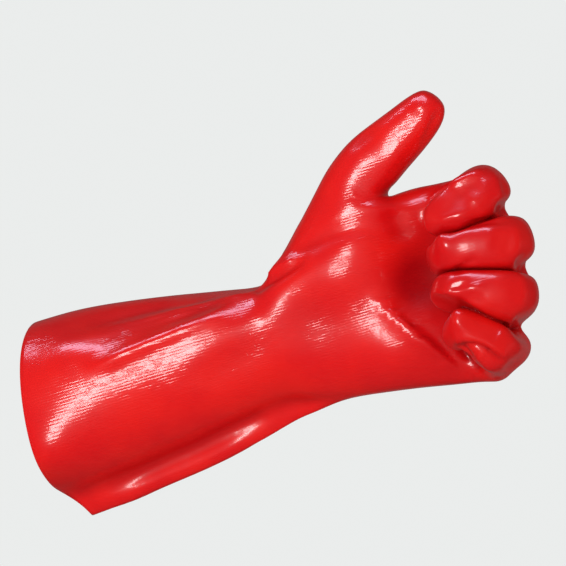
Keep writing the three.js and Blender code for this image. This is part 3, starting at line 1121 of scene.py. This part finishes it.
@dataclass
class Studio:
    """The plain pale floor, the soft lights and the camera.

    Attributes:
        view: the photograph's camera.
        sensor: the camera's sensor width, in millimetres.
        floor_drop: metres from the origin down to the floor.
        floor_radius: metres.
        floor_fade: the shares of that radius at which the floor begins to fade and is gone.
        floor_colour: its pale paint.
        backdrop: the plain colour behind the glove.
        fill: the strength of the soft light that comes from all round.
        gleam: how strongly the surroundings show in glossy surfaces.
        gleam_colour: the surroundings' colour there, warmed by the glove itself.
    """

    view: PhotoView = field(default_factory=PhotoView)
    sensor: float = 36.0
    floor_drop: float = 0.26
    floor_radius: float = 1.1
    floor_fade: tuple[float, float] = (0.45, 0.98)
    floor_colour: tuple[float, float, float, float] = (0.80, 0.81, 0.81, 1.0)
    backdrop: tuple[float, float, float, float] = (0.828, 0.844, 0.837, 1.0)
    fill: float = 0.4
    gleam: float = 0.17
    gleam_colour: tuple[float, float, float, float] = (0.9, 0.19, 0.17, 1.0)

    def build(self) -> None:
        """Builds the camera, the lights, the world and the floor."""
        self.place_camera()
        for softbox in SOFTBOXES:
            self.hang(softbox)
        self.light_world()
        self.lay_floor()
        bpy.context.scene.view_settings.view_transform = "Standard"

    def place_camera(self) -> None:
        """Sets the camera where the photograph was taken from."""
        camera = bpy.data.cameras.new("camera")
        camera.sensor_width = self.sensor
        camera.lens = self.sensor * self.view.scale * self.view.distance / self.view.width
        stand = bpy.data.objects.new("camera", camera)
        stand.location = Vector(self.view.position * MM)
        stand.rotation_euler = (math.radians(90), 0, math.radians(self.view.azimuth))
        bpy.context.scene.collection.objects.link(stand)
        bpy.context.scene.camera = stand

    def hang(self, softbox: Softbox) -> None:
        """Hangs one softbox, turned to the glove.

        Args:
            softbox: the light's sizes.
        """
        light = bpy.data.lights.new(softbox.name, "AREA")
        light.shape = "RECTANGLE"
        light.size, light.size_y = softbox.size
        light.energy = softbox.watts
        light.color = softbox.colour
        lamp = bpy.data.objects.new(softbox.name, light)
        lamp.visible_camera = False
        lamp.visible_glossy = softbox.role is not Role.FILL
        lamp.visible_diffuse = softbox.role is not Role.GLEAM
        turn = math.radians(self.view.azimuth + softbox.azimuth)
        rise = math.radians(softbox.elevation)
        way = Vector((math.sin(turn) * math.cos(rise), -math.cos(turn) * math.cos(rise), math.sin(rise)))
        target = Vector(self.view.target) * MM
        aim = way.to_track_quat("Z", "Y").to_matrix().to_4x4()
        lamp.matrix_world = Matrix.Translation(target + way * softbox.distance) @ aim
        bpy.context.scene.collection.objects.link(lamp)

    def light_world(self) -> None:
        """Makes the world a plain pale backdrop that gives a dimmer light."""
        world = bpy.data.worlds.new("studio")
        bpy.context.scene.world = world
        graph = Graph(world)
        seen = graph.node("ShaderNodeBackground", Color=self.backdrop, Strength=1.0)
        lit = graph.node("ShaderNodeBackground", Color=self.backdrop, Strength=self.fill)
        mirrored = graph.node("ShaderNodeBackground", Color=self.gleam_colour, Strength=self.gleam)
        path = graph.node("ShaderNodeLightPath").outputs
        soft = graph.node(
            "ShaderNodeMixShader", at0=path["Is Glossy Ray"], at1=lit.outputs[0], at2=mirrored.outputs[0]
        )
        both = graph.node(
            "ShaderNodeMixShader", at0=path["Is Camera Ray"], at1=soft.outputs[0], at2=seen.outputs[0]
        )
        graph.node("ShaderNodeOutputWorld", Surface=both.outputs[0])

    def lay_floor(self) -> None:
        """Lays a round pale floor whose edge fades into the backdrop."""
        disc = bmesh.new()
        centre = Matrix.Translation((self.view.target[0] * MM, 0, -self.floor_drop))
        bmesh.ops.create_circle(disc, cap_ends=True, segments=96, radius=self.floor_radius, matrix=centre)
        mesh = bpy.data.meshes.new("floor")
        disc.to_mesh(mesh)
        disc.free()
        mesh.materials.append(self.floor_paint())
        floor = bpy.data.objects.new("floor", mesh)
        bpy.context.scene.collection.objects.link(floor)
        floor.visible_glossy = False

    def floor_paint(self) -> bpy.types.Material:
        """Builds a matte pale paint that fades out towards the floor's edge.

        Returns:
            The paint.
        """
        material = bpy.data.materials.new("pale_floor")
        graph = Graph(material)
        place = graph.node("ShaderNodeTexCoord").outputs["Object"]
        centre = (-self.view.target[0] * MM, 0, self.floor_drop)
        flat = graph.node("ShaderNodeMapping", Vector=place, Location=centre)
        length = graph.node("ShaderNodeVectorMath", {"operation": "LENGTH"}, at0=flat.outputs[0])
        radius = Value(graph, length.outputs[1])
        begins, ends = (share * self.floor_radius for share in self.floor_fade)
        shader = graph.node(
            "ShaderNodeBsdfPrincipled",
            Base_Color=self.floor_colour,
            Roughness=0.85,
            Alpha=1 - graph.step(radius, begins, ends),
        )
        graph.node("ShaderNodeOutputMaterial", Surface=shader.outputs[0])
        return material


def main() -> None:
    """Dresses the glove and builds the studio."""
    logging.basicConfig(level=logging.INFO, format="%(message)s")
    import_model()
    glove = GloveSkin().build()
    LOG.info("%s: %d faces", glove.name, len(glove.data.polygons))
    Studio().build()
    LOG.info("studio: %d softboxes", len(SOFTBOXES))


if __name__ == "__main__":
    main()
